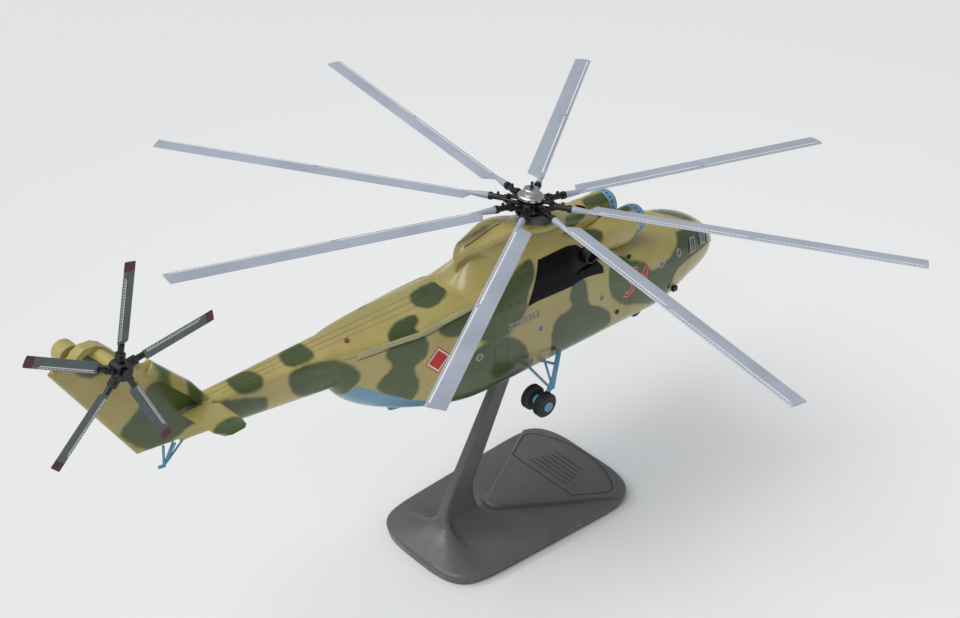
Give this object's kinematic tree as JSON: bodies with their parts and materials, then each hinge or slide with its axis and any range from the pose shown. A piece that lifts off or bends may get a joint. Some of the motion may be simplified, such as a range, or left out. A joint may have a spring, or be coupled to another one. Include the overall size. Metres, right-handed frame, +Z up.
{
  "type": "desk model helicopter",
  "caption": "Desk model of a heavy transport helicopter with a turning main rotor, tail rotor and wheels, on a moulded base with a leaning post.",
  "frame": {"origin": "middle of the base's underside, on the table", "axes": "+X towards the helicopter's nose, +Y towards its left side, +Z up"},
  "size_m": [0.5478, 0.4414, 0.2973],
  "materials": {
    "stand_plastic": "moulded satin dark grey",
    "camouflage_paint": "satin camouflage over a blue underside",
    "blue_paint": "satin",
    "black_paint": "satin",
    "wheel_plastic": "matt",
    "window_paint": "gloss",
    "beacon_paint": "gloss",
    "bush_brass": "turned",
    "shaft_steel": "turned",
    "cap_metal": "polished",
    "blade_paint": "satin",
    "tail_blade_paint": "satin"
  },
  "bodies": {
    "model": {"stand": "stand_plastic", "stand_socket": "stand_plastic", "fuselage_left": "camouflage_paint", "fuselage_right": "camouflage_paint", "engine_cowl_left": "camouflage_paint", "engine_cowl_right": "camouflage_paint", "rotor_pylon": "camouflage_paint", "intake_ring_left": "blue_paint", "intake_ring_right": "blue_paint", "intake_core_left": "blue_paint", "intake_core_right": "blue_paint", "exhaust_left": "black_paint", "exhaust_right": "black_paint", "tail_fin": "camouflage_paint", "gearbox_hood": "camouflage_paint", "gearbox_bulge": "camouflage_paint", "tail_shaft_housing": "camouflage_paint", "stabiliser_left": "camouflage_paint", "stabiliser_right": "camouflage_paint", "tail_bumper": "blue_paint", "main_gear_left": "blue_paint", "main_gear_right": "blue_paint", "nose_gear_leg": "blue_paint", "main_axle_left": "blue_paint", "main_axle_right": "blue_paint", "nose_axle": "blue_paint", "cockpit_panes": "window_paint", "side_windows": "window_paint", "beacon": "beacon_paint", "belly_antenna": "blue_paint", "side_sensors": "black_paint", "side_grille": "black_paint", "mast_bush": "bush_brass", "tail_bush": "bush_brass"},
    "main_rotor": {"rotor_mast": "shaft_steel", "rotor_hub": "black_paint", "hub_cap": "cap_metal", "cap_pin": "black_paint", "main_blade_1": "blade_paint", "main_blade_2": "blade_paint", "main_blade_3": "blade_paint", "main_blade_4": "blade_paint", "main_blade_5": "blade_paint", "main_blade_6": "blade_paint", "main_blade_7": "blade_paint", "main_blade_8": "blade_paint"},
    "tail_rotor": {"tail_shaft": "shaft_steel", "tail_hub": "black_paint", "tail_blade_1": "tail_blade_paint", "tail_blade_2": "tail_blade_paint", "tail_blade_3": "tail_blade_paint", "tail_blade_4": "tail_blade_paint", "tail_blade_5": "tail_blade_paint"},
    "main_wheel_left_inner": {"main_wheel_left_inner": "wheel_plastic"},
    "main_wheel_left_outer": {"main_wheel_left_outer": "wheel_plastic"},
    "main_wheel_right_inner": {"main_wheel_right_inner": "wheel_plastic"},
    "main_wheel_right_outer": {"main_wheel_right_outer": "wheel_plastic"},
    "nose_wheel_left": {"nose_wheel_left": "wheel_plastic"},
    "nose_wheel_right": {"nose_wheel_right": "wheel_plastic"}
  },
  "joints": [
    {"name": "main_rotor_spin", "type": "hinge", "parent": "model", "child": "main_rotor", "pos_m": [0.0095, 0, 0.2195], "axis": [0.0785, 0, 0.9969], "continuous": true},
    {"name": "tail_rotor_spin", "type": "hinge", "parent": "model", "child": "tail_rotor", "pos_m": [-0.271, -0.0242, 0.2443], "axis": [-0.0645, 0.9979, 0], "continuous": true},
    {"name": "main_wheel_left_inner_spin", "type": "hinge", "parent": "model", "child": "main_wheel_left_inner", "pos_m": [-0.0182, 0.0372, 0.1175], "axis": [0, 1, 0], "continuous": true},
    {"name": "main_wheel_left_outer_spin", "type": "hinge", "parent": "model", "child": "main_wheel_left_outer", "pos_m": [-0.0182, 0.047, 0.1175], "axis": [0, 1, 0], "continuous": true},
    {"name": "main_wheel_right_inner_spin", "type": "hinge", "parent": "model", "child": "main_wheel_right_inner", "pos_m": [-0.0182, -0.0372, 0.1175], "axis": [0, 1, 0], "continuous": true},
    {"name": "main_wheel_right_outer_spin", "type": "hinge", "parent": "model", "child": "main_wheel_right_outer", "pos_m": [-0.0182, -0.047, 0.1175], "axis": [0, 1, 0], "continuous": true},
    {"name": "nose_wheel_left_spin", "type": "hinge", "parent": "model", "child": "nose_wheel_left", "pos_m": [0.1025, 0.005, 0.1115], "axis": [0, 1, 0], "continuous": true},
    {"name": "nose_wheel_right_spin", "type": "hinge", "parent": "model", "child": "nose_wheel_right", "pos_m": [0.1025, -0.005, 0.1115], "axis": [0, 1, 0], "continuous": true}
  ]
}
